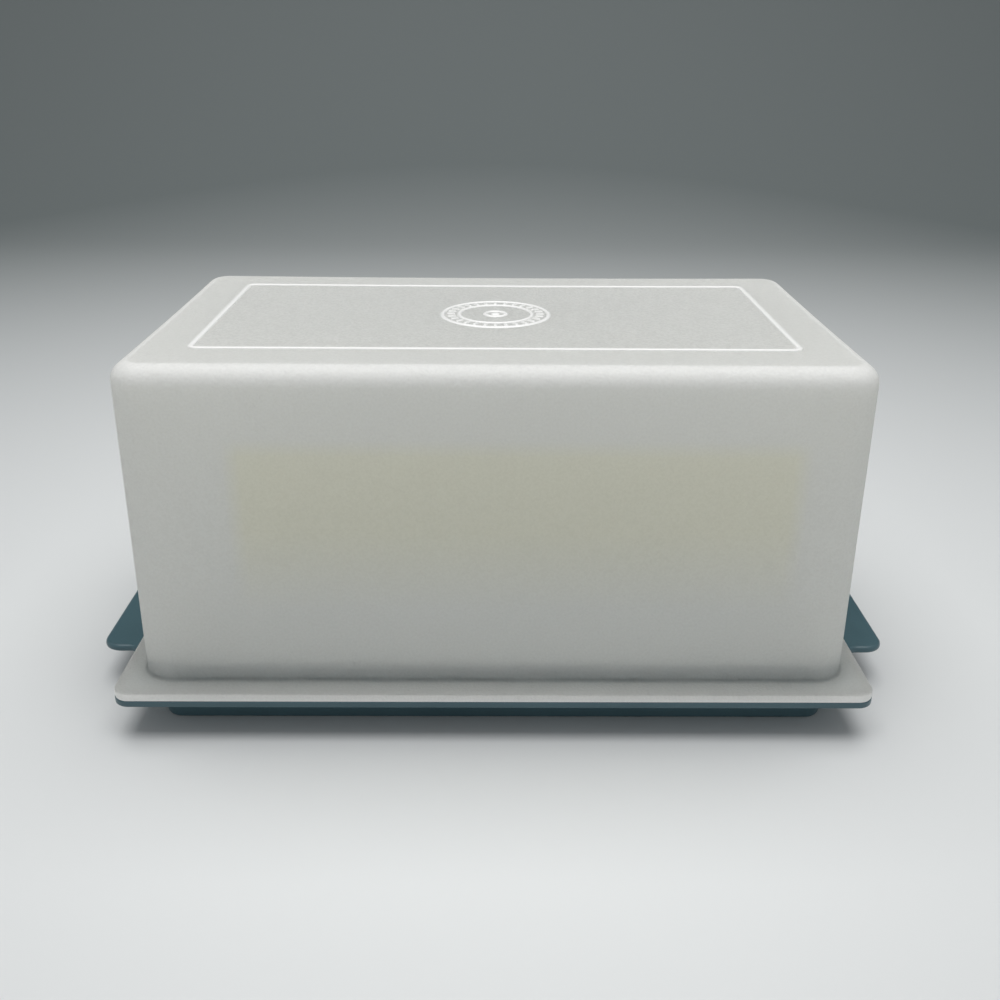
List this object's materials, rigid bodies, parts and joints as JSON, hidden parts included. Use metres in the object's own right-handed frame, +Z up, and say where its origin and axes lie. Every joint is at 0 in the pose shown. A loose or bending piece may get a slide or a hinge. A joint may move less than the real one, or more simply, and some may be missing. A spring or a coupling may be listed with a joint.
{
  "type": "loaf keeper",
  "caption": "Deep translucent plastic cover that stands mouth down on a shallow blue-grey tray with a tab handle at each end, for keeping a loaf.",
  "frame": {"origin": "on the table, under the middle of the tray", "axes": "+X along the loaf towards one tab handle, +Y across it towards the back, +Z up"},
  "size_m": [0.3108, 0.1704, 0.1392],
  "materials": {
    "translucent_polyethylene": "milky translucent, finely grained, soft sheen",
    "blue_grey_polyethylene": "opaque, satin"
  },
  "bodies": {
    "tray": {"tray": "blue_grey_polyethylene"},
    "cover": {"cover": "translucent_polyethylene"}
  },
  "joints": [
    {"name": "cover_lift", "type": "slide", "parent": "tray", "child": "cover", "axis": [0, 0, 1], "range_m": [0, 0.15]}
  ]
}
